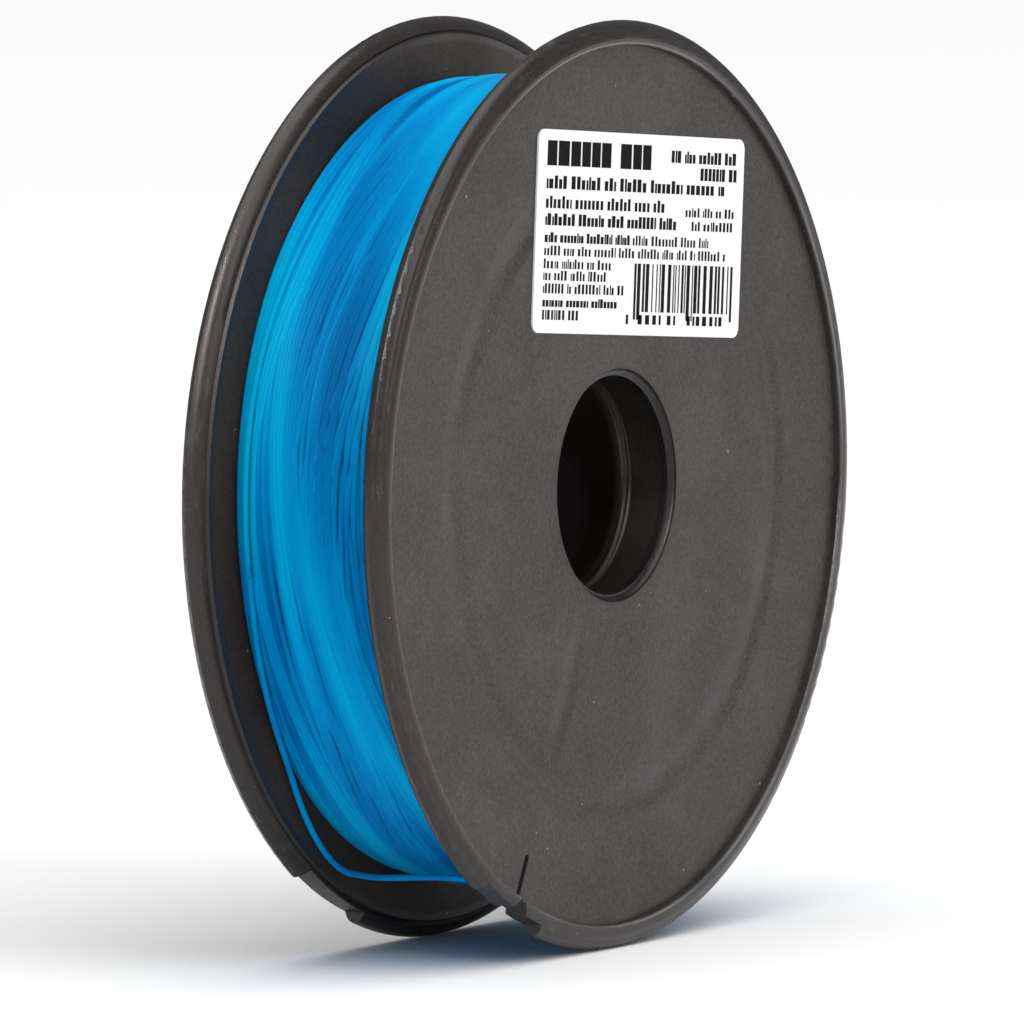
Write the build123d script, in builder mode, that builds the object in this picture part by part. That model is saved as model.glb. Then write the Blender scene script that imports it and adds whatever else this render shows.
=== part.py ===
from build123d import *
import math
import os

# Spool of fishing line, 100 m, on a two-piece moulded spool.  Millimetres.
# The spool's axis is Y and lies level.  The labelled face looks to -Y, +Z is up,
# and the origin is the middle of the bore, half way between the two flanges.
# Angles are seen from the labelled face, from +X towards +Z.

# driving dimensions
SPOOL_R = 30.0          # outside radius of both flanges
FACE_Y = 7.55           # half the width over the two raised rims
WEB_OUT_Y = 7.0         # outer face of each flange's web
WEB_IN_Y = 5.75         # inner face of each web; the line lies between the two
RIM_IN_R = 28.4         # inner edge of the raised rim on the outer face
BORE_R = 7.1            # running surface of the bore
TUBE_WALL = 1.4         # wall of the bore tube
BARREL_R = 21.0         # outside of the barrel that the line is wound on
BARREL_WALL = 1.3
JOINT_Y = -3.5          # where the two mouldings meet inside the bore
RIB_COUNT = 4
RIB_ANGLE = 244.0       # the first rib points at the line slit
RIB_T = 1.2
SLIT_ANGLE = 244.0
SLIT_W = 0.46
LINE_D = 0.4
CLEAR = 1.0             # how far cutting shapes reach past the body

tube_r = BORE_R + TUBE_WALL
barrel_in_r = BARREL_R - BARREL_WALL

os.makedirs("parts", exist_ok=True)


def polar(radius, angle, y=0.0):
    """The point at a radius and an angle in degrees about the spool's axis."""
    turn = math.radians(angle)
    return Vector(radius * math.cos(turn), y, radius * math.sin(turn))


# ---- profile of one flange, in the half plane x = radius, y along the axis ----
# Drawn for the rear flange, at +Y; the front one is its mirror image.
RIM_EDGE = 0.2          # rounding of the rim's inner edge
RIM_LAND_R = 28.8       # the flat land that the spool lies on ends at this radius
LIP_R = 0.45            # rounded mouth of the bore
SEAM_Y = 0.25           # depth of the line where the rim's bead meets the web
SEAM_IN_R = 28.85
SEAM_OUT_R = 29.15
BEAD_Y = WEB_IN_Y + 0.15
NOSE_TOP = (SPOOL_R, 6.78)              # widest point of the bead
NOSE_MIDDLE = (SPOOL_R - 0.2, 6.32)
SHOULDER_MIDDLE = (SPOOL_R - 0.17, 7.12)
SHOULDER_END = (SPOOL_R - 0.6, 7.36)
CROWN_MIDDLE = (RIM_LAND_R + 0.3, FACE_Y - 0.05)


def flange_profile():
    """Web, raised rim and rounded edge bead of a flange, down to the bore."""
    with BuildSketch(Plane.XY) as profile:
        with BuildLine():
            mouth = (BORE_R + LIP_R, WEB_OUT_Y)
            inner = Polyline(
                (BORE_R, WEB_OUT_Y - LIP_R), (BORE_R, WEB_IN_Y), (SEAM_IN_R, WEB_IN_Y),
                ((SEAM_IN_R + SEAM_OUT_R) / 2, WEB_IN_Y + SEAM_Y), (SEAM_OUT_R, BEAD_Y))
            nose = ThreePointArc(inner @ 1, NOSE_MIDDLE, NOSE_TOP)
            shoulder = ThreePointArc(nose @ 1, SHOULDER_MIDDLE, SHOULDER_END)
            crown = ThreePointArc(shoulder @ 1, CROWN_MIDDLE, (RIM_LAND_R, FACE_Y))
            land = Line(crown @ 1, (RIM_IN_R + RIM_EDGE, FACE_Y))
            edge = RadiusArc(land @ 1, (RIM_IN_R, FACE_Y - RIM_EDGE), -RIM_EDGE)
            outer = Polyline(edge @ 1, (RIM_IN_R, WEB_OUT_Y), mouth)
            RadiusArc(outer @ 1, inner @ 0, LIP_R)
        make_face()
    return profile.sketch


# ---- thumb notch in both rims, where the end of the line is caught ----
NOTCH_FROM = 235.5
NOTCH_TO = 249.8
NOTCH_R = 29.3          # radius of the notch's floor
NOTCH_FLARE = 1.2       # degrees by which the notch's ends lean outwards


def notch_sketch():
    """Outline of the notch: a ring sector that starts at the notch's floor."""
    with BuildSketch(Plane.XZ) as notch:
        with BuildLine():
            floor_from, floor_to = polar(NOTCH_R, NOTCH_FROM), polar(NOTCH_R, NOTCH_TO)
            far_from = polar(SPOOL_R + CLEAR, NOTCH_FROM - NOTCH_FLARE)
            far_to = polar(SPOOL_R + CLEAR, NOTCH_TO + NOTCH_FLARE)
            middle = polar(NOTCH_R, (NOTCH_FROM + NOTCH_TO) / 2)
            ThreePointArc((floor_from.X, floor_from.Z), (middle.X, middle.Z), (floor_to.X, floor_to.Z))
            Polyline((floor_to.X, floor_to.Z), (far_to.X, far_to.Z), (far_from.X, far_from.Z),
                     (floor_from.X, floor_from.Z))
        make_face()
    return notch.sketch


# ---- front flange: web, rim, the barrel, four ribs and the socket for the tube ----
SOCKET_WALL = 1.1       # socket round the rear moulding's tube
SOCKET_END_Y = 1.5
RIB_END_Y = 3.4
JOINT_BREAK = 0.18      # chamfer on both tube ends at the joint, inside the bore
RIB_OVERLAP = 0.3       # how far each rib's ends reach into the two walls

SLIT_IN_R = 25.7        # inner end of the line slit
MOUTH_TIP_R = 28.5      # where the slit opens into its V mouth
MOUTH_R = 30.4
MOUTH_HALF = 1.65       # half width of the V at that radius

socket_r = tube_r + SOCKET_WALL
slit_plane = Plane(origin=(0, 0, 0), x_dir=polar(1, SLIT_ANGLE), z_dir=(0, -1, 0))

with BuildPart() as front_flange:
    with BuildSketch(Plane.XY):
        add(mirror(flange_profile(), about=Plane.XZ))
    revolve(axis=Axis.Y)
    # barrel, socket and collar stand on the web's inner face
    with BuildSketch(Plane.XZ.offset(WEB_IN_Y)):
        Circle(BARREL_R)
        Circle(barrel_in_r, mode=Mode.SUBTRACT)
    extrude(amount=-2 * WEB_IN_Y)
    with BuildSketch(Plane.XZ.offset(WEB_IN_Y)):
        Circle(socket_r)
        Circle(tube_r, mode=Mode.SUBTRACT)
    extrude(amount=-(WEB_IN_Y + SOCKET_END_Y))
    with BuildSketch(Plane.XZ.offset(WEB_IN_Y)):
        Circle(tube_r)
        Circle(BORE_R, mode=Mode.SUBTRACT)
    extrude(amount=-(WEB_IN_Y + JOINT_Y))
    # ribs between the socket and the barrel
    rib_length = barrel_in_r - socket_r + 2 * RIB_OVERLAP
    with BuildSketch(Plane.XZ.offset(WEB_IN_Y)):
        with PolarLocations((socket_r + barrel_in_r) / 2, RIB_COUNT, start_angle=RIB_ANGLE):
            Rectangle(rib_length, RIB_T)
    extrude(amount=-(WEB_IN_Y + RIB_END_Y))
    # line slit through the web, with a V mouth in the rim
    with BuildSketch(slit_plane.offset(-SPOOL_R)):
        with BuildLine():
            Polyline((SLIT_IN_R, SLIT_W / 2), (MOUTH_TIP_R, SLIT_W / 2), (MOUTH_R, MOUTH_HALF),
                     (MOUTH_R, -MOUTH_HALF), (MOUTH_TIP_R, -SLIT_W / 2), (SLIT_IN_R, -SLIT_W / 2))
            ThreePointArc((SLIT_IN_R, -SLIT_W / 2), (SLIT_IN_R - SLIT_W / 2, 0), (SLIT_IN_R, SLIT_W / 2))
        make_face()
    extrude(amount=2 * SPOOL_R, mode=Mode.SUBTRACT)
    # thumb notch
    with BuildSketch(Plane.XZ.offset(FACE_Y + CLEAR)):
        add(notch_sketch())
    extrude(amount=-(FACE_Y + CLEAR), mode=Mode.SUBTRACT)
    joint_edge = front_flange.edges().filter_by(GeomType.CIRCLE).filter_by(
        lambda edge: abs(edge.radius - BORE_R) < 0.01).sort_by(Axis.Y)[-1]
    chamfer(joint_edge, JOINT_BREAK)
front_flange.part.label = "front_flange"
export_step(front_flange.part, "parts/front_flange.step")

# ---- rear flange: web, rim, the tube of the bore and a ring that centres the barrel ----
RING_WALL = 1.1
RING_END_Y = 3.75

with BuildPart() as rear_flange:
    with BuildSketch(Plane.XY):
        add(flange_profile())
    revolve(axis=Axis.Y)
    with BuildSketch(Plane.XZ.offset(-WEB_IN_Y)):
        Circle(tube_r)
        Circle(BORE_R, mode=Mode.SUBTRACT)
    extrude(amount=WEB_IN_Y - JOINT_Y)
    with BuildSketch(Plane.XZ.offset(-WEB_IN_Y)):
        Circle(barrel_in_r)
        Circle(barrel_in_r - RING_WALL, mode=Mode.SUBTRACT)
    extrude(amount=WEB_IN_Y - RING_END_Y)
    with BuildSketch(Plane.XZ):
        add(notch_sketch())
    extrude(amount=-(FACE_Y + CLEAR), mode=Mode.SUBTRACT)
    joint_edge = rear_flange.edges().filter_by(GeomType.CIRCLE).sort_by(Axis.Y)[:2].sort_by(SortBy.RADIUS)[0]
    chamfer(joint_edge, JOINT_BREAK)
rear_flange.part.label = "rear_flange"
export_step(rear_flange.part, "parts/rear_flange.step")

# ---- the wound line, as the ring that it fills between the webs ----
WOUND_EDGE_R = 25.8     # radius of the winding where it meets a web
WOUND_MID_R = 26.3      # and in the middle, where it stands a little higher

with BuildPart() as line_winding:
    with BuildSketch(Plane.XY):
        with BuildLine():
            surface = ThreePointArc(
                (WOUND_EDGE_R, -WEB_IN_Y), (WOUND_MID_R, 0), (WOUND_EDGE_R, WEB_IN_Y))
            Polyline(surface @ 1, (BARREL_R, WEB_IN_Y), (BARREL_R, -WEB_IN_Y), surface @ 0)
        make_face()
    revolve(axis=Axis.Y)
line_winding.part.label = "line_winding"
export_step(line_winding.part, "parts/line_winding.step")

# ---- the line's loose end: it lifts off the winding beside the rear web, hangs out in a
# slack bow, turns across the spool and is caught in the front flange's slit ----
# each point is angle, radius, y
TAIL_ROUTE = [
    (190.0, 26.32, 4.6), (199.0, 26.25, 4.9), (208.0, 26.2, 5.15), (215.0, 26.22, 5.32),
    (220.5, 26.4, 5.42), (224.0, 26.8, 5.43), (227.6, 27.25, 5.42), (231.2, 27.6, 5.42),
    (234.6, 27.87, 5.4), (237.9, 28.06, 5.33), (240.5, 28.12, 5.05), (241.8, 28.0, 4.3),
    (242.2, 28.02, 3.3), (242.9, 27.8, 1.8), (243.4, 27.57, 0.2), (243.8, 27.4, -1.5),
    (243.9, 27.42, -3.2), (SLIT_ANGLE, 27.55, -5.0), (SLIT_ANGLE, 27.7, -6.35),
]
tail_points = [polar(radius, angle, y) for angle, radius, y in TAIL_ROUTE]


def corner_radii(points):
    """As large an arc at each corner as its two runs allow."""
    radii = []
    for before, corner, after in zip(points, points[1:], points[2:]):
        shorter = min((corner - before).length, (after - corner).length)
        half_turn = math.radians((corner - before).get_angle(after - corner) / 2)
        radii.append(0.45 * shorter / math.tan(half_turn))
    return radii


tail_radii = corner_radii(tail_points)
print("line_tail corner radii", [round(radius, 1) for radius in tail_radii])

with BuildPart() as line_tail:
    with BuildLine() as tail_path:
        FilletPolyline(*tail_points, radius=tail_radii)
    start = tail_path.wires()[0]
    with BuildSketch(Plane(origin=start @ 0, z_dir=start % 0)):
        Circle(LINE_D / 2)
    sweep(path=start)
section = math.pi * LINE_D ** 2 / 4
print("line_tail length", round(start.length, 2), "volume", round(line_tail.part.volume, 3),
      "section times length", round(section * start.length, 3))
line_tail.part.label = "line_tail"
export_step(line_tail.part, "parts/line_tail.step")

# ---- paper label on the front web ----
LABEL_W = 26.2
LABEL_H = 13.0
LABEL_T = 0.12
LABEL_CORNER = 0.7
LABEL_X = 2.7
LABEL_Z = 16.05
LABEL_TURN = -3.9       # stuck on a little askew

with BuildPart() as front_label:
    with BuildSketch(Plane.XZ.offset(WEB_OUT_Y)):
        with Locations(Location((LABEL_X, LABEL_Z), LABEL_TURN)):
            RectangleRounded(LABEL_W, LABEL_H, LABEL_CORNER)
    extrude(amount=LABEL_T)
front_label.part.label = "front_label"
export_step(front_label.part, "parts/front_label.step")
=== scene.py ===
import math
import random

import bpy
import numpy as np
from mathutils import Matrix, Vector


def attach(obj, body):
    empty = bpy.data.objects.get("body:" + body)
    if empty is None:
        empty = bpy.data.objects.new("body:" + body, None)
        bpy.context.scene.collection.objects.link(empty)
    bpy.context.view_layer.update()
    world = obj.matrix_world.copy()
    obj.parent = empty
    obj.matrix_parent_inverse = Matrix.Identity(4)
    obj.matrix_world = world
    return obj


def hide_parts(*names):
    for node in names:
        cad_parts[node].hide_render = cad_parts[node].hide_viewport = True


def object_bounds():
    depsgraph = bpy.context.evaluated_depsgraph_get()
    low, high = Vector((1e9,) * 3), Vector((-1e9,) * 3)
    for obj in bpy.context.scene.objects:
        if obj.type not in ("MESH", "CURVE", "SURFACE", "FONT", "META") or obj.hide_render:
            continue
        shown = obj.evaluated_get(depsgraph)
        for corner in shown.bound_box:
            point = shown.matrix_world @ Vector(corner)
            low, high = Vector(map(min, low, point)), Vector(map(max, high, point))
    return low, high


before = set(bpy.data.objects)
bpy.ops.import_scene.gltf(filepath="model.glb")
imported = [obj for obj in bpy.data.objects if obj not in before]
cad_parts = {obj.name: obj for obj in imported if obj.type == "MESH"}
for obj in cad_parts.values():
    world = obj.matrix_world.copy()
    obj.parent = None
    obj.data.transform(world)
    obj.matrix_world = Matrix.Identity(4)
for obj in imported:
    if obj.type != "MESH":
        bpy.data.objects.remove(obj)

cad_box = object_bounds()
MM = 0.001              # metres in a millimetre

# Sizes shared with the CAD source, in millimetres.
WEB_IN_Y = 5.75         # inner face of each web
WEB_OUT_Y = 7.0         # and its outer face
RIM_IN_R = 28.4         # inner edge of the raised rim
BORE_R = 7.1
BARREL_R = 21.0
RIB_ANGLE = 244.0       # one of the four ribs behind the front web
JOINT_Y = -3.5          # where the two mouldings meet inside the bore
LINE_D = 0.4
WOUND_EDGE_R = 25.8     # the winding's radius beside a web
WOUND_MID_R = 26.3      # and half way between the webs


def polar(radius, angle, y):
    """A point in metres at a radius (mm) and an angle (degrees) about the spool's axis."""
    turn = math.radians(angle)
    return Vector((radius * math.cos(turn), y, radius * math.sin(turn))) * MM


# ---- camera ----
VIEW_AZIMUTH = -58.83   # degrees
VIEW_ELEVATION = 4.59
VIEW_DISTANCE = 0.735   # metres
VIEW_LENS = 398.7       # millimetres
AIM_RIGHT = -0.00079    # the aim point, from the origin, along the picture's right and up
AIM_UP = -0.00201


def make_camera():
    """The camera, upright, at the view's angle and distance from the aim point."""
    azimuth, elevation = math.radians(VIEW_AZIMUTH), math.radians(VIEW_ELEVATION)
    back = Vector((math.sin(azimuth) * math.cos(elevation),
                   -math.cos(azimuth) * math.cos(elevation), math.sin(elevation)))
    right = Vector((math.cos(azimuth), math.sin(azimuth), 0))
    up = back.cross(right)
    data = bpy.data.cameras.new("camera")
    data.lens = VIEW_LENS
    data.sensor_width = 36.0
    data.clip_start, data.clip_end = 0.05, 50.0
    camera = bpy.data.objects.new("camera", data)
    camera.rotation_mode = "QUATERNION"
    camera.rotation_quaternion = (-back).to_track_quat("-Z", "Y")
    camera.location = right * AIM_RIGHT + up * AIM_UP + back * VIEW_DISTANCE
    bpy.context.scene.collection.objects.link(camera)
    bpy.context.scene.camera = camera


make_camera()

# ---- the line's loose end: angle, radius, y ----
TAIL_ROUTE = [
    (190.0, 26.32, 4.6), (199.0, 26.25, 4.9), (208.0, 26.2, 5.15), (215.0, 26.22, 5.32),
    (220.5, 26.4, 5.42), (224.0, 26.8, 5.43), (227.6, 27.25, 5.42), (231.2, 27.6, 5.42),
    (234.6, 27.87, 5.4), (237.9, 28.06, 5.33), (240.5, 28.12, 5.05), (241.8, 28.0, 4.3),
    (242.2, 28.02, 3.3), (242.9, 27.8, 1.8), (243.4, 27.57, 0.2), (243.8, 27.4, -1.5),
    (243.9, 27.42, -3.2), (244.0, 27.55, -5.0), (244.0, 27.7, -6.35),
]
POINT_SIZE = 0.001      # a spline point's radius; Blender counts it in the curve's box


def make_tail():
    """The loose end, one smooth curve along its route."""
    points = [polar(radius, angle, y) for angle, radius, y in TAIL_ROUTE]
    curve = bpy.data.curves.new("line_loose_end", "CURVE")
    curve.dimensions = "3D"
    curve.resolution_u = 8
    curve.bevel_depth = LINE_D / 2 * MM / POINT_SIZE
    curve.bevel_resolution = 4
    curve.use_fill_caps = True
    spline = curve.splines.new("NURBS")
    spline.points.add(len(points) - 1)
    for spline_point, point in zip(spline.points, points):
        spline_point.co = (*point, 1.0)
        spline_point.radius = POINT_SIZE
    spline.order_u = 3
    spline.use_endpoint_u = True
    tail = bpy.data.objects.new("line_loose_end", curve)
    bpy.context.scene.collection.objects.link(tail)
    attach(tail, "root")
    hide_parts("line_tail")
    return tail


tail = make_tail()


# ---- materials ----
class Shader:
    """A material's node tree, with short calls to add and link its nodes."""

    def __init__(self, name, **sockets):
        self.material = bpy.data.materials.new(name)
        self.material.use_nodes = True
        self.tree = self.material.node_tree
        self.tree.nodes.clear()
        self.surface = self.tree.nodes.new("ShaderNodeBsdfPrincipled")
        output = self.tree.nodes.new("ShaderNodeOutputMaterial")
        self.tree.links.new(self.surface.outputs[0], output.inputs["Surface"])
        for socket, value in sockets.items():
            self.surface.inputs[socket.replace("_", " ")].default_value = value
        self.place = self.add("ShaderNodeTexCoord").outputs["Object"]

    def add(self, kind, **settings):
        made = self.tree.nodes.new(kind)
        for key, value in settings.items():
            setattr(made, key, value)
        return made

    def feed(self, socket, value):
        if isinstance(value, bpy.types.NodeSocket):
            self.tree.links.new(value, socket)
        else:
            socket.default_value = value

    def maths(self, operation, *values):
        made = self.add("ShaderNodeMath", operation=operation)
        for socket, value in zip(made.inputs, values):
            self.feed(socket, value)
        return made.outputs[0]

    def times(self, *values):
        product = values[-1]
        for value in reversed(values[:-1]):
            product = self.maths("MULTIPLY", value, product)
        return product

    def plus(self, *values):
        total = values[-1]
        for value in reversed(values[:-1]):
            total = self.maths("ADD", value, total)
        return total

    def vector(self, operation, a, b=None, output=0):
        made = self.add("ShaderNodeVectorMath", operation=operation)
        self.feed(made.inputs[0], a)
        if b is not None:
            self.feed(made.inputs[1], b)
        return made.outputs[output]

    def noise(self, place, scale, detail=2.0, roughness=0.5, distortion=0.0):
        made = self.add("ShaderNodeTexNoise")
        self.feed(made.inputs["Vector"], place)
        made.inputs["Scale"].default_value = scale
        made.inputs["Detail"].default_value = detail
        made.inputs["Roughness"].default_value = roughness
        made.inputs["Distortion"].default_value = distortion
        return made.outputs["Fac"]

    def span(self, value, low, high, to_low=0.0, to_high=1.0, smooth=True):
        """value from low..high to to_low..to_high, held at both ends."""
        made = self.add("ShaderNodeMapRange", interpolation_type="SMOOTHSTEP" if smooth else "LINEAR")
        for socket, given in zip(made.inputs, (value, low, high, to_low, to_high)):
            self.feed(socket, given)
        return made.outputs[0]

    def ridge(self, value, low, high):
        """1 half way between low and high, falling smoothly to 0 at both."""
        middle = (low + high) / 2
        return self.times(self.span(value, low, middle), self.span(value, middle, high, 1.0, 0.0))

    def ramp(self, value, *stops):
        made = self.add("ShaderNodeValToRGB")
        self.feed(made.inputs[0], value)
        while len(made.color_ramp.elements) < len(stops):
            made.color_ramp.elements.new(0.5)
        for element, (position, colour) in zip(made.color_ramp.elements, stops):
            element.position = position
            element.color = (*colour, 1.0)
        return made.outputs[0]

    def blend(self, share, a, b, mode="MIX"):
        made = self.add("ShaderNodeMix", data_type="RGBA", blend_type=mode)
        self.feed(made.inputs[0], share)
        self.feed(made.inputs[6], a)
        self.feed(made.inputs[7], b)
        return made.outputs[2]

    def bump(self, height, distance, strength=1.0):
        made = self.add("ShaderNodeBump")
        made.inputs["Strength"].default_value = strength
        made.inputs["Distance"].default_value = distance
        self.feed(made.inputs["Height"], height)
        return made.outputs[0]

    def finish(self, **sockets):
        for socket, value in sockets.items():
            self.feed(self.surface.inputs[socket.replace("_", " ")], value)
        return self.material


# bands of the plastic's surface, in millimetres: each mask fades between its two numbers
WEB_FACE_Y = (WEB_OUT_Y - 0.15, WEB_OUT_Y - 0.05)
INNER_FACE_Y = (WEB_IN_Y + 0.15, WEB_IN_Y + 0.45)
RIM_FACE_Y = (7.2, 7.4)
RIM_R = (RIM_IN_R - 0.2, RIM_IN_R + 0.2)
# the rim's inner edge, where a highlight is painted into the colour
PAINTED_HIGHLIGHT_R = (28.38, 28.64)
BEAD_R = (28.9, 29.4)
BORE_WALL_R = (BORE_R + 0.3, BORE_R + 0.9)
SINK_RING_R = (18.7, 21.9)
RIB_MARK_R = (7.5, 21.5)
RIB_MARK_HALF = 1.4     # half the width of a rib's mark
BEHIND_JOINT_Y = (JOINT_Y + 0.3, JOINT_Y + 1.1)
JOINT_RIDGE_Y = (JOINT_Y - 0.45, JOINT_Y + 0.45)
BEAD_TURN = 0.006       # stretches the rims' scuffs along the bead
# relief, in metres
GRAIN_HEIGHT = 0.00002
PATCH_HEIGHT = 0.00002
SINK_DEPTH = 0.00025
RIDGE_HEIGHT = 0.00016


def metres(band):
    """A band's two limits, from millimetres to metres."""
    return [limit * MM for limit in band]


def spool_plastic():
    """Dark warm grey moulding: matt grain, sink marks over barrel and ribs, scuffed rims, dust; with painted
    shade on the inner faces, rims and bore, and a painted highlight along the rims' inner edge.
    """
    shader = Shader("spool_plastic", IOR=1.42)
    times, plus, span, ridge = shader.times, shader.plus, shader.span, shader.ridge
    split = shader.add("ShaderNodeSeparateXYZ")
    shader.feed(split.inputs[0], shader.place)
    x, y, z = split.outputs
    flat = shader.add("ShaderNodeCombineXYZ")
    shader.feed(flat.inputs[0], x)
    shader.feed(flat.inputs[2], z)
    radius = shader.vector("LENGTH", flat.outputs[0], output=1)
    depth = shader.maths("ABSOLUTE", y)
    on_web = span(depth, *metres(WEB_FACE_Y))
    on_rim = span(radius, *metres(RIM_R))
    inside = span(depth, *metres(INNER_FACE_Y), 1.0, 0.0)
    in_bore = span(radius, *metres(BORE_WALL_R), 1.0, 0.0)
    deep = times(in_bore, span(y, *metres(BEHIND_JOINT_Y)))
    joint = times(in_bore, ridge(y, *metres(JOINT_RIDGE_Y)))

    # sink marks: a ring over the barrel and a line over each rib
    cloud = span(shader.noise(shader.place, 75, detail=2), 0.3, 0.62)
    ring = times(ridge(radius, *metres(SINK_RING_R)), cloud)
    turned = shader.add("ShaderNodeMapping", vector_type="POINT")
    shader.feed(turned.inputs["Vector"], shader.place)
    turned.inputs["Rotation"].default_value = (0, math.radians(RIB_ANGLE), 0)
    rib_split = shader.add("ShaderNodeSeparateXYZ")
    shader.feed(rib_split.inputs[0], turned.outputs[0])
    along, across = (shader.maths("ABSOLUTE", rib_split.outputs[k]) for k in (0, 2))
    off_rib = shader.maths("MINIMUM", along, across)
    near_rib = span(off_rib, 0.0, RIB_MARK_HALF * MM, 1.0, 0.0)
    rib = times(near_rib, ridge(radius, *metres(RIB_MARK_R)), cloud)
    sunk = times(shader.maths("MAXIMUM", ring, rib), on_web)

    # the moulding's surface: fine eroded grain, broad mottling, smears
    grain = shader.noise(shader.place, 5200, detail=3, roughness=0.7)
    patches = shader.noise(shader.place, 230, detail=6, roughness=0.66)
    smears = shader.noise(shader.place, 55, detail=3, distortion=0.8)
    tone = plus(times(grain, 0.62), times(patches, 0.2), times(smears, 0.18))
    colour = shader.ramp(tone, (0.38, (0.012, 0.0108, 0.0104)), (0.62, (0.054, 0.0492, 0.0477)))
    # painted shade: the webs' inner faces and all that lies between them are painted darker and warmer,
    # taking out the blue light that the winding throws on them
    colour = shader.blend(inside, colour, (1.05, 0.70, 0.40, 1.0), mode="MULTIPLY")
    # painted shade: the rims are painted darker than the rest of the moulding
    colour = shader.blend(times(on_rim, 0.75), colour, (0.020, 0.0182, 0.0178, 1.0))

    # rims: scuffs that run along the bead, and a painted highlight along the inner edge
    angle = shader.maths("ARCTAN2", z, x)
    along_bead = shader.add("ShaderNodeCombineXYZ")
    shader.feed(along_bead.inputs[0], times(angle, BEAD_TURN))
    shader.feed(along_bead.inputs[1], radius)
    shader.feed(along_bead.inputs[2], y)
    scuff = shader.noise(along_bead.outputs[0], 2300, detail=4, roughness=0.7)
    where = shader.noise(shader.place, 70, detail=2)
    scuff = times(span(scuff, 0.52, 0.72), span(where, 0.45, 0.62), span(radius, *metres(BEAD_R)))
    # a painted highlight along the rim's inner edge, uneven along it
    painted_edge_highlight = times(ridge(radius, *metres(PAINTED_HIGHLIGHT_R)), span(depth, *metres(RIM_FACE_Y)),
                 span(where, 0.35, 0.6, 0.35, 1.0))
    # the scuffs are real wear; the inner edge's paler line is a painted highlight
    scuffs_and_painted_highlight = shader.maths("MAXIMUM", times(scuff, 0.13), times(painted_edge_highlight, 0.5))
    colour = shader.blend(scuffs_and_painted_highlight, colour, (0.32, 0.31, 0.305, 1.0))

    # dust: small pale and dark specks, few and uneven in size
    def specks(scale, share, size):
        cell = shader.add("ShaderNodeTexVoronoi")
        shader.feed(cell.inputs["Vector"], shader.place)
        cell.inputs["Scale"].default_value = scale
        chance = shader.add("ShaderNodeSeparateColor")
        shader.feed(chance.inputs[0], cell.outputs["Color"])
        kept = span(chance.outputs[0], 1 - share, 1.0, 0.3, 1.0, smooth=False)
        kept = times(kept, shader.maths("GREATER_THAN", chance.outputs[0], 1 - share))
        return shader.maths("LESS_THAN", cell.outputs["Distance"], times(kept, size))

    colour = shader.blend(times(specks(700, 0.22, 0.075), 0.7), colour, (0.33, 0.32, 0.31, 1.0))
    colour = shader.blend(times(specks(330, 0.16, 0.045), 0.8), colour, (0.008, 0.008, 0.008, 1.0))

    # the bore is polished by its core pin, so glossier; it is painted nearly black as painted shade, and
    # behind the joint's soft ridge it is dull, with its reflections dimmed as painted shade too
    colour = shader.blend(times(in_bore, 0.9), colour, (0.002, 0.002, 0.002, 1.0))
    # the specular tint dims reflections behind the joint to a tenth: painted shade
    gloss = shader.blend(deep, (1.0, 0.91, 0.88, 1.0), (0.1, 0.09, 0.09, 1.0))
    roughness = plus(span(smears, 0.35, 0.65, 0.40, 0.54), times(on_rim, -0.17), times(inside, 0.08),
                     times(in_bore, -0.12), times(deep, 0.5), times(scuff, 0.15))
    height = plus(times(grain, GRAIN_HEIGHT), times(sunk, -SINK_DEPTH), times(patches, PATCH_HEIGHT),
                  times(joint, RIDGE_HEIGHT))
    normal = shader.bump(height, 1.0)
    return shader.finish(Base_Color=colour, Roughness=roughness, Specular_Tint=gloss, Normal=normal)


NYLON_RAMP = ((0.15, (0.0, 0.135, 0.41)), (0.5, (0.0, 0.275, 0.65)), (0.85, (0.0, 0.45, 0.80)))
SOFTENING = 4.5         # how far a turn's shading normal leans to the whole winding's


def nylon_line(name, toned):
    """Clear blue nylon monofilament. Light passes from turn to turn in it; when toned, each turn's shading
    normal leans to the whole winding's so that their shading is soft, and the turns are painted paler where
    they stand out and darker in the hollows: painted light and shade.
    """
    shader = Shader(name, Specular_IOR_Level=0.04, Specular_Tint=(0.02, 0.6, 1.0, 1.0))
    streak = shader.noise(shader.place, 160, detail=3)
    roughness = shader.span(streak, 0.3, 0.7, 0.38, 0.50)
    if not toned:
        return shader.finish(Base_Color=shader.ramp(streak, *NYLON_RAMP), Roughness=roughness)
    tone = shader.add("ShaderNodeAttribute", attribute_name="tone").outputs["Fac"]
    # tone holds painted light and shade from the turns' relief, besides the bundles' own tone
    mixed = shader.plus(shader.times(tone, 0.8), shader.times(streak, 0.2))
    outward = shader.vector("NORMALIZE", shader.vector("MULTIPLY", shader.place, (1.0, 0.0, 1.0)))
    lean = shader.vector("MULTIPLY", outward, (SOFTENING, SOFTENING, SOFTENING))
    own = shader.add("ShaderNodeNewGeometry").outputs["Normal"]
    soft = shader.vector("NORMALIZE", shader.vector("ADD", own, lean))
    return shader.finish(Base_Color=shader.ramp(mixed, *NYLON_RAMP), Roughness=roughness, Normal=soft)


def label_paper():
    """White coated sticker."""
    shader = Shader("label_paper", IOR=1.45)
    fibre = shader.noise(shader.place, 1800, detail=3, roughness=0.6)
    colour = shader.ramp(fibre, (0.3, (0.85, 0.853, 0.857)), (0.7, (0.88, 0.883, 0.887)))
    normal = shader.bump(fibre, 0.00001, 0.3)
    return shader.finish(Base_Color=colour, Roughness=shader.span(fibre, 0.3, 0.7, 0.38, 0.5), Normal=normal)


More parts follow.
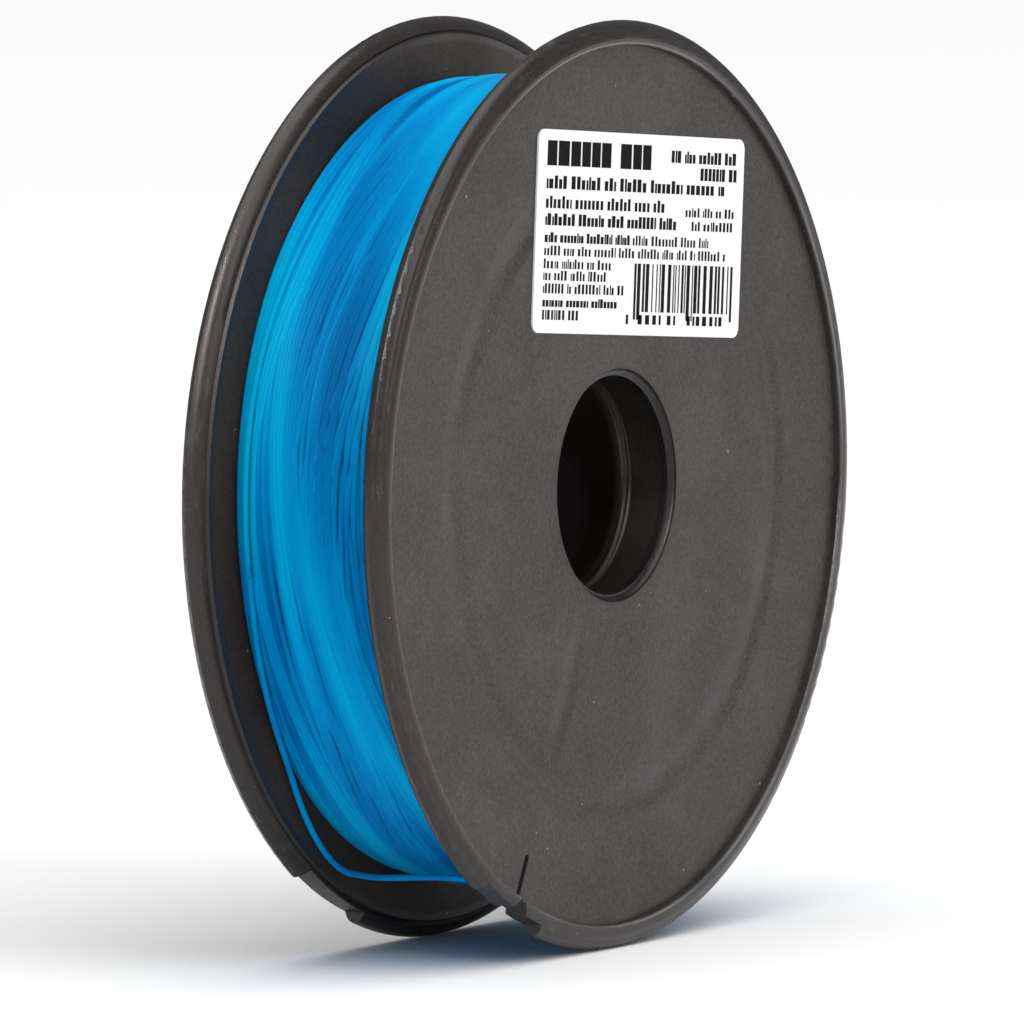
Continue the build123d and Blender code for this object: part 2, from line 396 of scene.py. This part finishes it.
def label_ink():
    """Black print, a little uneven in density."""
    shader = Shader("label_ink", Specular_IOR_Level=0.03)
    density = shader.noise(shader.place, 2600, detail=3, roughness=0.6)
    colour = shader.ramp(density, (0.3, (0.004, 0.0035, 0.0037)), (0.75, (0.014, 0.0125, 0.013)))
    return shader.finish(Base_Color=colour, Roughness=shader.span(density, 0.3, 0.7, 0.4, 0.55))


plastic, paper, ink = spool_plastic(), label_paper(), label_ink()
nylon, loose_nylon = nylon_line("nylon_line", True), nylon_line("nylon_line_loose", False)


def dress(obj, material):
    if not obj.material_slots:
        obj.data.materials.append(material)
    for slot in obj.material_slots:
        slot.material = material


for flange in (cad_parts["front_flange"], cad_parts["rear_flange"]):
    dress(flange, plastic)
    # lessens the sawtooth that low light draws on the long triangles of the round bead
    flange.shadow_terminator_geometry_offset = 0.9
dress(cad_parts["front_label"], paper)
dress(tail, loose_nylon)


def new_piece(name, vertices, faces, material, smooth_shaded=True):
    mesh = bpy.data.meshes.new(name)
    mesh.from_pydata([tuple(v) for v in vertices], [], faces)
    mesh.polygons.foreach_set("use_smooth", [smooth_shaded] * len(mesh.polygons))
    mesh.update()
    piece = bpy.data.objects.new(name, mesh)
    bpy.context.scene.collection.objects.link(piece)
    piece.data.materials.append(material)
    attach(piece, "root")
    return piece


# ---- the wound line: one long strand, laid turn by turn on what is already there ----
TURNS = 102
STEPS = 120             # points in a turn
SIDES = 8               # corners of the strand's section
END_ANGLE = 190.0       # where the strand goes over into the loose end
# The turns snake along the axis together: angle of each crest and hollow, and how far they lean there.
WANDER = [(35, -1.0), (85, 1.1), (127, -1.25), (172, 1.3), (224, -1.1), (265, 1.2), (305, -1.0), (345, 1.0)]
SEED = 9
# Each bundle of turns draws its own values between these limits.
PITCH = (0.25, 0.30)    # from turn to turn along the axis
BUNDLE = (3, 8)         # turns in a bundle
WANDER_STRENGTH = (0.6, 1.35)
WANDER_LEAD = (-19, 19)     # degrees by which a bundle's crests come early or late
BUNDLE_STEP = (0.1, 0.4)    # from one bundle to the next along the axis
WANDER_SKEW = 2.0       # degrees by which the crests shift for each millimetre along the axis
LAST_LANE = 5.52        # where a turn's middle lies when it touches a web
TURN_BACK = 0.2         # how near to that the winding turns back
CELL = 0.05             # lane width of the height field that the turns are laid on
PACKED_R = 0.125        # half the room that a turn takes, pressed between its neighbours
SINK = 0.02             # how far a turn sinks into what it rests on
AHEAD = 20              # steps before and after a turn that its smoothing takes in
SLOPE_CELLS = 7         # cells to each side over which the slope under a turn is read
SLIDE = 0.3             # share of that slope by which the turn slides down it
LONGEST_SLIDE = 0.14
LAID_HEIGHT = 0.62      # how much the turns drawn here stand above what lies under them
PRESSED = 0.34          # share of that height left once the line's own tension has pressed it
JOIN_STEPS = 25         # the strand's last steps, which lead into the loose end
RELIEF_SHADE = 2.4       # how much paler a turn is painted for each millimetre that it stands out, and darker where it lies low: painted light and shade
BUNDLE_TONE = 0.35      # how much the bundles differ in tone
CORE_AROUND = 180       # the core's faces around the spool
CORE_LANES = 231        # its points from web to web
CORE_RIB = 0.05         # and the height of its ribs
# Widths of the bells that even things out, in steps along the strand.
BASE_BELL = 14
BUNDLE_BELL = 18
TONE_BELL = 8
SLIDE_BELL = 5
REST_BELL = 4
LEAN_BELL = 3
# The same for the height field: steps around the spool, and cells along its axis.
BROAD_BELL = (9, 13)
NEAR_BELL = (3, 6)
LEAST_ROOM = 0.03       # share of the wander left where the strand runs along a web


def smooth(values, width, wrap=False):
    """values averaged along their first axis by a bell of that many steps."""
    reach = int(3 * width)
    bell = np.exp(-0.5 * (np.arange(-reach, reach + 1) / width) ** 2)
    bell /= bell.sum()
    pad = [(reach, reach)] + [(0, 0)] * (values.ndim - 1)
    padded = np.pad(values, pad, mode="wrap" if wrap else "edge")
    return sum(w * padded[k:k + len(values)] for k, w in enumerate(bell))


def wander_at(angle):
    """How far the turns lean along the axis at an angle, by smooth steps between the crests."""
    first_angle, first_lean = WANDER[0]
    marks = np.array(WANDER + [(first_angle + 360, first_lean)])
    angle = np.mod(angle - marks[0, 0], 360) + marks[0, 0]
    after = np.clip(np.searchsorted(marks[:, 0], angle, "right"), 1, len(marks) - 1)
    (a0, o0), (a1, o1) = marks[after - 1].T, marks[after].T
    return o0 + (o1 - o0) * (1 - np.cos(np.pi * (angle - a0) / (a1 - a0))) / 2


def wound_profile(y):
    """The winding's radius at y, in millimetres: fullest half way between the webs."""
    return WOUND_EDGE_R + (WOUND_MID_R - WOUND_EDGE_R) * (1 - (y / WEB_IN_Y) ** 2)


def wound_path():
    """Angle, y and tone of every point of the strand, in degrees and millimetres."""
    rng = random.Random(SEED)
    count = TURNS * STEPS + 1
    angle = END_ANGLE - 360 * TURNS + 360 / STEPS * np.arange(count)
    base, strength, lead, tone = (np.zeros(count) for _ in range(4))
    at, y, way = 0, -LAST_LANE, 1
    while at < count:
        pitch = rng.uniform(*PITCH)
        turns = min(rng.randint(*BUNDLE), max(1, int((LAST_LANE - way * y) / pitch)))
        stop = min(count, at + turns * STEPS)
        base[at:stop] = y + way * pitch * np.arange(stop - at) / STEPS
        strength[at:stop] = rng.uniform(*WANDER_STRENGTH)
        lead[at:stop] = rng.uniform(*WANDER_LEAD)
        tone[at:stop] = rng.random()
        y = base[stop - 1] + way * rng.uniform(*BUNDLE_STEP)
        if way * y > LAST_LANE - TURN_BACK:
            y, way = way * LAST_LANE, -way
        at = stop
    base = smooth(base, BASE_BELL)
    strength, lead = smooth(strength, BUNDLE_BELL), smooth(lead, BUNDLE_BELL)
    room = np.clip(1 - (base / LAST_LANE) ** 2, LEAST_ROOM, 1)
    path = base + strength * room * wander_at(angle + lead + WANDER_SKEW * base)
    return angle, np.clip(path, -LAST_LANE, LAST_LANE), smooth(tone, TONE_BELL)


def lay_strand(path, under):
    """Radius, y and relief of the strand's points when each turn settles on the turns below it."""
    lanes = np.arange(-WEB_IN_Y, WEB_IN_Y + CELL / 2, CELL)
    height = np.repeat(under(lanes)[None, :], STEPS, axis=0)
    reach = range(-int(PACKED_R / CELL), int(PACKED_R / CELL) + 1)
    rise = {k: math.sqrt(PACKED_R ** 2 - (k * CELL) ** 2) for k in reach}
    radius, path = np.zeros(len(path)), path.copy()

    def cells(start, stop):
        row = np.arange(start, stop) % STEPS
        lane = np.rint((path[start:stop] + WEB_IN_Y) / CELL).astype(int)
        return row, lambda k: np.clip(lane + k, 0, len(lanes) - 1)

    def evened(around, across):
        return smooth(smooth(height, around, wrap=True).T, across).T

    for start in range(0, len(path), STEPS):
        stop = min(start + STEPS, len(path))
        far = min(stop + AHEAD, len(path))
        row, beside = cells(start, far)
        rising = height[row, beside(SLOPE_CELLS)] - height[row, beside(-SLOPE_CELLS)]
        slide = np.clip(SLIDE * (rising / (2 * SLOPE_CELLS * CELL)), -LONGEST_SLIDE, LONGEST_SLIDE)
        path[start:stop] -= smooth(slide, SLIDE_BELL)[:stop - start]
        row, beside = cells(start, far)
        rest = np.max([height[row, beside(k)] + rise[k] - SINK for k in reach], axis=0)
        before = radius[max(0, start - AHEAD):start]
        whole = smooth(np.concatenate([before, rest]), REST_BELL)
        radius[start:stop] = whole[len(before):len(before) + stop - start]
        row, beside = cells(start, stop)
        for k in reach:
            top = radius[start:stop] + rise[k]
            height[row, beside(k)] = np.maximum(height[row, beside(k)], top)
    # draw the whole pack down to the winding's real outline, keeping its relief
    broad, near = evened(*BROAD_BELL), evened(*NEAR_BELL)
    lean = broad - wound_profile(lanes)
    row, beside = cells(0, len(path))
    relief = (near - broad)[row, beside(0)]
    settled = radius - smooth(lean[row, beside(0)], LEAN_BELL)
    top = wound_profile(path) - LINE_D / 2
    return top + PRESSED * (settled - top), path, relief


def tube(points, half, sides):
    """Vertices and faces of a tube along points, closed by a cap at both ends."""
    along = np.gradient(points, axis=0)
    along /= np.linalg.norm(along, axis=1)[:, None]
    out = points * (1, 0, 1)
    out -= (out * along).sum(1)[:, None] * along
    out /= np.linalg.norm(out, axis=1)[:, None]
    across = np.cross(along, out)
    turn = 2 * np.pi * np.arange(sides) / sides
    rings = (points[:, None, :] + half * (np.cos(turn)[None, :, None] * out[:, None, :]
                                          + np.sin(turn)[None, :, None] * across[:, None, :]))
    faces = []
    for i in range(len(points) - 1):
        for k in range(sides):
            a, b = i * sides + k, i * sides + (k + 1) % sides
            faces.append((a, b, b + sides, a + sides))
    faces.append(tuple(reversed(range(sides))))
    faces.append(tuple(range((len(points) - 1) * sides, len(points) * sides)))
    return rings.reshape(-1, 3), faces


def make_wound_line():
    """The strand as one tube, whose last steps lead into the loose end."""
    angle, path, tone = wound_path()
    radius, path, relief = lay_strand(path, lambda y: wound_profile(y) - LAID_HEIGHT)
    share = np.clip((np.arange(len(path)) - (len(path) - 1 - JOIN_STEPS)) / JOIN_STEPS, 0, 1)
    share = share * share * (3 - 2 * share)
    path = path * (1 - share) + TAIL_ROUTE[0][2] * share
    radius = radius * (1 - share) + TAIL_ROUTE[0][1] * share
    turn = np.radians(angle)
    points = np.stack([radius * np.cos(turn), path, radius * np.sin(turn)], 1) * MM
    vertices, faces = tube(points, LINE_D / 2 * MM, SIDES)
    piece = new_piece("wound_line", vertices, faces, nylon)
    # painted light and shade: each turn is paler where it stands out of its neighbours and darker where it
    # lies low, on top of the bundles' own tone
    tone = np.clip(0.5 + RELIEF_SHADE * relief + BUNDLE_TONE * (tone - 0.5), 0, 1)
    layer = piece.data.attributes.new("tone", "FLOAT", "POINT")
    layer.data.foreach_set("value", np.repeat(tone, SIDES).astype(np.float32))
    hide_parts("line_winding")


def make_line_core():
    """The deeper turns, as the ring that they fill, with a low rib for each turn."""
    y = np.linspace(-WEB_IN_Y, WEB_IN_Y, CORE_LANES)
    under = wound_profile(y) - LINE_D / 2 - PRESSED * LAID_HEIGHT
    outer = under + CORE_RIB * np.abs(np.cos(np.pi * y / LINE_D))
    section = [(BARREL_R, -WEB_IN_Y)] + list(zip(outer, y)) + [(BARREL_R, WEB_IN_Y)]
    vertices, faces = [], []
    for i in range(CORE_AROUND):
        for r, level in section:
            vertices.append(polar(r, 360 * i / CORE_AROUND, level))
    n = len(section)
    for i in range(CORE_AROUND):
        j = (i + 1) % CORE_AROUND
        for k in range(n):
            m = (k + 1) % n
            faces.append((i * n + k, i * n + m, j * n + m, j * n + k))
    # it has no tone, so the toned nylon gives it its darkest blue: painted shade over the deep turns
    new_piece("wound_line_core", vertices, faces, nylon)


make_wound_line()
make_line_core()


# ---- label print: rows of plain blocks in place of text, and a bar pattern that codes nothing ----
LABEL_W = 26.2
LABEL_H = 13.0
LABEL_X = 2.7           # the label's middle
LABEL_Z = 16.05
LABEL_TURN = -3.9       # degrees
LABEL_FACE_Y = -7.12
INK_T = 0.012
LABEL_SEED = 5
# each row: left, right, top and bottom as shares of the label, blocks to the label's height,
# the gap's share of a block's room, and how many of the blocks are tall
ROWS = [
    (0.043, 0.575, 0.054, 0.177, 9.5, 0.13, 1.0),
    (0.640, 0.965, 0.074, 0.134, 26, 0.26, 0.6), (0.785, 0.965, 0.156, 0.218, 25, 0.26, 1.0),
    (0.043, 0.905, 0.226, 0.290, 22, 0.28, 0.35), (0.043, 0.625, 0.326, 0.386, 26, 0.36, 0.4),
    (0.718, 0.965, 0.356, 0.402, 31, 0.42, 0.3), (0.043, 0.685, 0.412, 0.470, 26, 0.26, 0.5),
    (0.750, 0.965, 0.424, 0.470, 31, 0.42, 0.5), (0.043, 0.450, 0.505, 0.554, 31, 0.26, 0.35),
    (0.465, 0.842, 0.505, 0.554, 31, 0.44, 0.35), (0.043, 0.922, 0.570, 0.618, 31, 0.44, 0.35),
    (0.043, 0.368, 0.634, 0.682, 31, 0.44, 0.35), (0.043, 0.353, 0.692, 0.740, 31, 0.44, 0.4),
    (0.043, 0.433, 0.756, 0.804, 31, 0.42, 0.7), (0.043, 0.402, 0.826, 0.870, 29, 0.26, 0.1),
    (0.043, 0.213, 0.886, 0.934, 30, 0.40, 1.0), (0.444, 0.462, 0.898, 0.945, 26, 0.35, 1.0),
    (0.502, 0.706, 0.898, 0.945, 16, 0.45, 1.0), (0.742, 0.940, 0.898, 0.945, 16, 0.45, 1.0),
]
BLOCK_WIDTHS = (0.55, 0.9, 1.0, 1.0, 1.15)     # a row's blocks, drawn at random, in its pitch
LOW_BLOCK = 0.26        # share of a row's height that its low blocks leave free
LEAST_BLOCK = 0.6       # room that a last block needs, in its row's pitch
WORD_GAP = 0.75         # added between words, in the same
# the bar pattern: left, right, top and foot as shares of the label
BARS = (0.478, 0.966, 0.643, 0.883)
BAR_UNITS = 95          # the thinnest bar's width goes into the pattern's this many times
BAR_WIDTHS = (1, 1, 1, 2, 2, 3)     # in that unit, drawn at random
BAR_GAPS = (1, 1, 2, 2, 3)
LONG_BARS = (0, 1, 14, 15)          # bars that reach further down
LONG_END_UNITS = 4.5    # and so do those this near to the right end
LONG_BAR_FOOT = 0.922


def print_label():
    """The label's rows of blocks and its bar pattern, as one mesh."""
    rng = random.Random(LABEL_SEED)
    turn = math.radians(LABEL_TURN)
    vertices, faces = [], []

    def block(left, right, top, bottom):
        """A flat block of ink between two shares across and two shares down the label."""
        start = len(vertices)
        for level in (LABEL_FACE_Y, LABEL_FACE_Y - INK_T):
            for across, down in ((left, bottom), (right, bottom), (right, top), (left, top)):
                u, v = (across - 0.5) * LABEL_W, (0.5 - down) * LABEL_H
                vertices.append((Vector((LABEL_X + u * math.cos(turn) - v * math.sin(turn), level,
                                         LABEL_Z + u * math.sin(turn) + v * math.cos(turn)))) * MM)
        a, b, c, d, e, f, g, h = range(start, start + 8)
        faces.extend([(e, f, g, h), (a, b, f, e), (b, c, g, f), (c, d, h, g), (d, a, e, h)])

    for left, right, top, bottom, fineness, gap, tall_share in ROWS:
        at, in_word = left, rng.randint(2, 8)
        pitch = LABEL_H / LABEL_W / fineness
        while at < right - LEAST_BLOCK * pitch:
            width = pitch * rng.choice(BLOCK_WIDTHS)
            lift = 0.0 if rng.random() < tall_share else LOW_BLOCK * (bottom - top)
            block(at, min(right, at + width * (1 - gap)), top + lift, bottom)
            at += width
            in_word -= 1
            if in_word == 0:
                at, in_word = at + WORD_GAP * pitch, rng.randint(2, 9)
    left, right, top, bottom = BARS
    unit = (right - left) / BAR_UNITS
    at, count = left, 0
    while at < right - unit:
        width = unit * rng.choice(BAR_WIDTHS)
        long = count in LONG_BARS or at > right - LONG_END_UNITS * unit
        block(at, min(right, at + width), top, LONG_BAR_FOOT if long else bottom)
        at += width + unit * rng.choice(BAR_GAPS)
        count += 1
    new_piece("label_print", vertices, faces, ink, smooth_shaded=False)


print_label()


# ---- floor and lights ----
FLOOR_REACH = 8.0       # metres to each side
WORLD_LIGHT = 0.20      # the world's strength as a light
WORLD_SEEN = 0.9        # and as the camera sees it


def make_floor():
    """A pale matt floor under the spool."""
    low = cad_box[0].z
    corners = [(x * FLOOR_REACH, y * FLOOR_REACH, low) for x, y in ((-1, -1), (1, -1), (1, 1), (-1, 1))]
    mesh = bpy.data.meshes.new("floor")
    mesh.from_pydata(corners, [], [(0, 1, 2, 3)])
    floor = bpy.data.objects.new("floor", mesh)
    bpy.context.scene.collection.objects.link(floor)
    shader = Shader("floor", Roughness=0.9)
    shade = shader.noise(shader.place, 3.0, detail=1)
    colour = shader.ramp(shade, (0.3, (0.93, 0.93, 0.93)), (0.7, (0.95, 0.95, 0.95)))
    mesh.materials.append(shader.finish(Base_Color=colour))


def soft_light(name, place, size, power, along=(0, 0, 1), gloss_only=False):
    """A soft box that faces the spool; along is the way its second side runs."""
    data = bpy.data.lights.new(name, "AREA")
    data.shape = "RECTANGLE"
    data.size, data.size_y = size
    data.energy = power
    back = Vector(place).normalized()
    side = Vector(along).cross(back).normalized()
    light = bpy.data.objects.new(name, data)
    light.location = place
    light.rotation_mode = "QUATERNION"
    light.rotation_quaternion = Matrix((side, back.cross(side), back)).transposed().to_quaternion()
    light.visible_camera = False
    light.visible_diffuse = not gloss_only
    bpy.context.scene.collection.objects.link(light)


def soft_sun(name, way, spread, strength):
    """Even light over object and floor alike; way points to where it comes from."""
    data = bpy.data.lights.new(name, "SUN")
    data.energy = strength
    data.angle = math.radians(spread)
    light = bpy.data.objects.new(name, data)
    light.rotation_mode = "QUATERNION"
    light.rotation_quaternion = (-Vector(way)).to_track_quat("-Z", "Y")
    bpy.context.scene.collection.objects.link(light)


make_floor()
soft_sun("overhead", (-0.15, -0.2, 1.0), 70, 2.75)
soft_light("left_rear", (-0.60, 0.42, 0.42), (0.04, 0.60), 9.0, along=(0.7, 0.0, 0.7), gloss_only=True)
soft_light("left_front", (-0.60, -0.21, 0.47), (0.03, 0.40), 5.0, gloss_only=True)
soft_light("front", (-0.10, -1.10, 0.55), (0.7, 0.7), 4.5)
soft_light("right_front", (0.42, -0.30, -0.005), (0.22, 0.22), 0.15)

world = bpy.data.worlds.new("world")
world.use_nodes = True
nodes, links = world.node_tree.nodes, world.node_tree.links
rays = nodes.new("ShaderNodeLightPath")
level = nodes.new("ShaderNodeMapRange")
links.new(rays.outputs["Is Camera Ray"], level.inputs["Value"])
level.inputs["To Min"].default_value = WORLD_LIGHT
level.inputs["To Max"].default_value = WORLD_SEEN
links.new(level.outputs[0], nodes["Background"].inputs["Strength"])
nodes["Background"].inputs["Color"].default_value = (1, 1, 1, 1)
bpy.context.scene.world = world
bpy.context.scene.view_settings.view_transform = "Standard"
